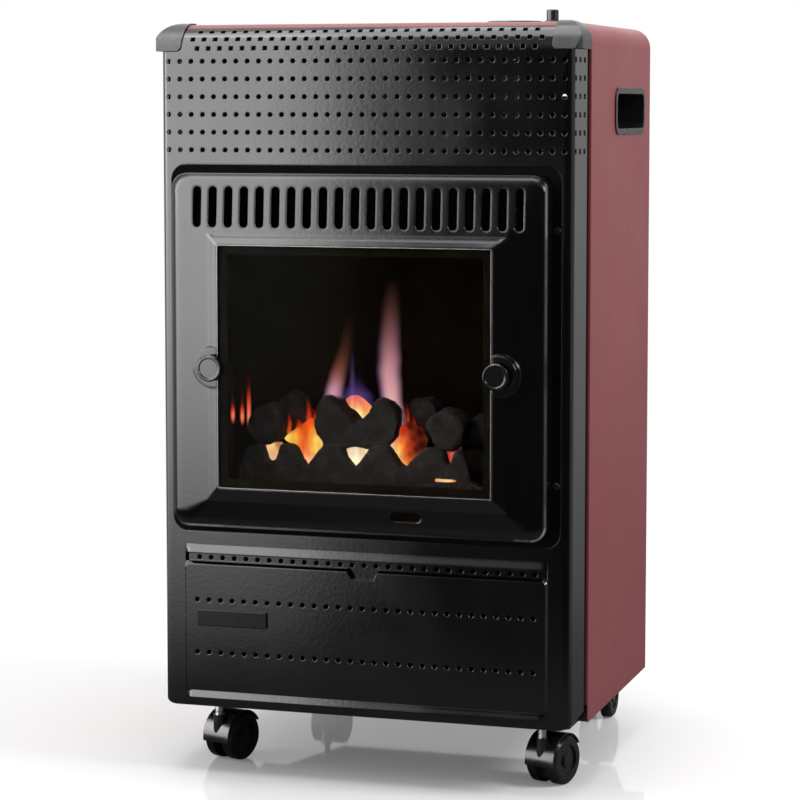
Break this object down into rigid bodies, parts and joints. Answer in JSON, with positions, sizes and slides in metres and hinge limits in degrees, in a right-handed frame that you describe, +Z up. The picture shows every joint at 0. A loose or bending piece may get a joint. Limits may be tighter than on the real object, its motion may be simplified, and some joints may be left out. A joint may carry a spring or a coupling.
{
  "type": "portable cabinet gas heater",
  "caption": "Portable gas cabinet heater: imitation coal fire behind glass, control knob and ignition button on top, removable rear cover over the bottle bay, swivelling twin-wheel casters.",
  "frame": {"origin": "on the floor, at the centre of the footprint", "axes": "+Z up, the fire faces -Y, +X to the right of someone facing the fire"},
  "size_m": [0.429, 0.451, 0.749],
  "materials": {
    "black_enamel": "gloss black stove enamel",
    "red_enamel": "satin burgundy enamel",
    "dark_plastic": "satin moulded plastic",
    "black_gloss_plastic": "gloss black",
    "glass": "clear heat-resistant glass",
    "heat_steel": "bare aluminised steel",
    "coal_ceramic": "rough ceramic fibre",
    "brass": "plain",
    "zinc_steel": "zinc plated",
    "caster_plastic": "moulded black nylon"
  },
  "bodies": {
    "heater_body": {"front_panel": "black_enamel", "fire_surround": "black_enamel", "firebox": "black_enamel", "base_plate": "black_enamel", "rear_top_panel": "black_enamel", "cabinet_shell": "red_enamel", "corner_cap_left": "dark_plastic", "corner_cap_right": "dark_plastic", "side_handle_left": "dark_plastic", "side_handle_right": "dark_plastic", "knob_well": "dark_plastic", "badge_plate": "dark_plastic", "igniter_body": "dark_plastic", "igniter_nut": "dark_plastic", "window_glass": "glass", "burner": "heat_steel", "pilot_burner": "heat_steel", "igniter_electrode": "heat_steel", "thermocouple": "heat_steel", "heat_shield": "heat_steel", "fire_rail": "coal_ceramic", "coals": "coal_ceramic", "gas_valve": "brass", "inlet_nozzle": "brass", "burner_pipe": "brass", "pilot_pipe": "brass", "rear_screws": "zinc_steel", "front_screws": "zinc_steel", "caster_front_left_stem": "zinc_steel", "caster_front_right_stem": "zinc_steel", "caster_rear_left_stem": "zinc_steel", "caster_rear_right_stem": "zinc_steel"},
    "rear_cover": {"rear_cover": "black_enamel"},
    "glass_knob_left": {"glass_knob_left": "dark_plastic"},
    "glass_knob_right": {"glass_knob_right": "dark_plastic"},
    "knob_push": {"knob_washer": "zinc_steel"},
    "control_knob": {"control_knob": "dark_plastic", "valve_spindle": "zinc_steel"},
    "igniter_button": {"igniter_button": "black_gloss_plastic"},
    "caster_front_left_swivel": {"caster_front_left_hood": "caster_plastic", "caster_front_left_axle": "zinc_steel"},
    "caster_front_left_wheel_left": {"caster_front_left_wheel_left": "caster_plastic"},
    "caster_front_left_wheel_right": {"caster_front_left_wheel_right": "caster_plastic"},
    "caster_front_right_swivel": {"caster_front_right_hood": "caster_plastic", "caster_front_right_axle": "zinc_steel"},
    "caster_front_right_wheel_left": {"caster_front_right_wheel_left": "caster_plastic"},
    "caster_front_right_wheel_right": {"caster_front_right_wheel_right": "caster_plastic"},
    "caster_rear_left_swivel": {"caster_rear_left_hood": "caster_plastic", "caster_rear_left_axle": "zinc_steel"},
    "caster_rear_left_wheel_left": {"caster_rear_left_wheel_left": "caster_plastic"},
    "caster_rear_left_wheel_right": {"caster_rear_left_wheel_right": "caster_plastic"},
    "caster_rear_right_swivel": {"caster_rear_right_hood": "caster_plastic", "caster_rear_right_axle": "zinc_steel"},
    "caster_rear_right_wheel_left": {"caster_rear_right_wheel_left": "caster_plastic"},
    "caster_rear_right_wheel_right": {"caster_rear_right_wheel_right": "caster_plastic"}
  },
  "joints": [
    {"name": "rear_cover_pull", "type": "slide", "parent": "heater_body", "child": "rear_cover", "axis": [0, 1, 0], "range_m": [0, 0.2]},
    {"name": "glass_knob_left_turn", "type": "hinge", "parent": "heater_body", "child": "glass_knob_left", "pos_m": [-0.142, -0.2205, 0.4055], "axis": [0, -1, 0], "range_deg": [0, 1080]},
    {"name": "glass_knob_right_turn", "type": "hinge", "parent": "heater_body", "child": "glass_knob_right", "pos_m": [0.142, -0.2205, 0.4055], "axis": [0, -1, 0], "range_deg": [0, 1080]},
    {"name": "control_knob_push", "type": "slide", "parent": "heater_body", "child": "knob_push", "axis": [0, 0, -1], "range_m": [0, 0.004], "stiffness_N_per_m": 1500, "springref_m": -0.001},
    {"name": "control_knob_turn", "type": "hinge", "parent": "knob_push", "child": "control_knob", "pos_m": [0.121, -0.0745, 0.725], "axis": [0, 0, -1], "range_deg": [0, 180]},
    {"name": "igniter_button_push", "type": "slide", "parent": "heater_body", "child": "igniter_button", "axis": [0, 0, -1], "range_m": [0, 0.008], "stiffness_N_per_m": 1200, "springref_m": -0.001},
    {"name": "caster_front_left_swivel", "type": "hinge", "parent": "heater_body", "child": "caster_front_left_swivel", "pos_m": [-0.167, -0.1375, 0.04], "axis": [0, 0, 1], "continuous": true},
    {"name": "caster_front_left_roll_left", "type": "hinge", "parent": "caster_front_left_swivel", "child": "caster_front_left_wheel_left", "pos_m": [-0.16052, -0.11858, 0.024], "axis": [0.9461, -0.3239, 0], "continuous": true},
    {"name": "caster_front_left_roll_right", "type": "hinge", "parent": "caster_front_left_swivel", "child": "caster_front_left_wheel_right", "pos_m": [-0.16052, -0.11858, 0.024], "axis": [0.9461, -0.3239, 0], "continuous": true},
    {"name": "caster_front_right_swivel", "type": "hinge", "parent": "heater_body", "child": "caster_front_right_swivel", "pos_m": [0.167, -0.1375, 0.04], "axis": [0, 0, 1], "continuous": true},
    {"name": "caster_front_right_roll_left", "type": "hinge", "parent": "caster_front_right_swivel", "child": "caster_front_right_wheel_left", "pos_m": [0.17305, -0.11844, 0.024], "axis": [0.9532, -0.3024, 0], "continuous": true},
    {"name": "caster_front_right_roll_right", "type": "hinge", "parent": "caster_front_right_swivel", "child": "caster_front_right_wheel_right", "pos_m": [0.17305, -0.11844, 0.024], "axis": [0.9532, -0.3024, 0], "continuous": true},
    {"name": "caster_rear_left_swivel", "type": "hinge", "parent": "heater_body", "child": "caster_rear_left_swivel", "pos_m": [-0.152, 0.1505, 0.04], "axis": [0, 0, 1], "continuous": true},
    {"name": "caster_rear_left_roll_left", "type": "hinge", "parent": "caster_rear_left_swivel", "child": "caster_rear_left_wheel_left", "pos_m": [-0.152, 0.1705, 0.024], "axis": [1, 0, 0], "continuous": true},
    {"name": "caster_rear_left_roll_right", "type": "hinge", "parent": "caster_rear_left_swivel", "child": "caster_rear_left_wheel_right", "pos_m": [-0.152, 0.1705, 0.024], "axis": [1, 0, 0], "continuous": true},
    {"name": "caster_rear_right_swivel", "type": "hinge", "parent": "heater_body", "child": "caster_rear_right_swivel", "pos_m": [0.152, 0.1505, 0.04], "axis": [0, 0, 1], "continuous": true},
    {"name": "caster_rear_right_roll_left", "type": "hinge", "parent": "caster_rear_right_swivel", "child": "caster_rear_right_wheel_left", "pos_m": [0.152, 0.1705, 0.024], "axis": [1, 0, 0], "continuous": true},
    {"name": "caster_rear_right_roll_right", "type": "hinge", "parent": "caster_rear_right_swivel", "child": "caster_rear_right_wheel_right", "pos_m": [0.152, 0.1705, 0.024], "axis": [1, 0, 0], "continuous": true}
  ]
}
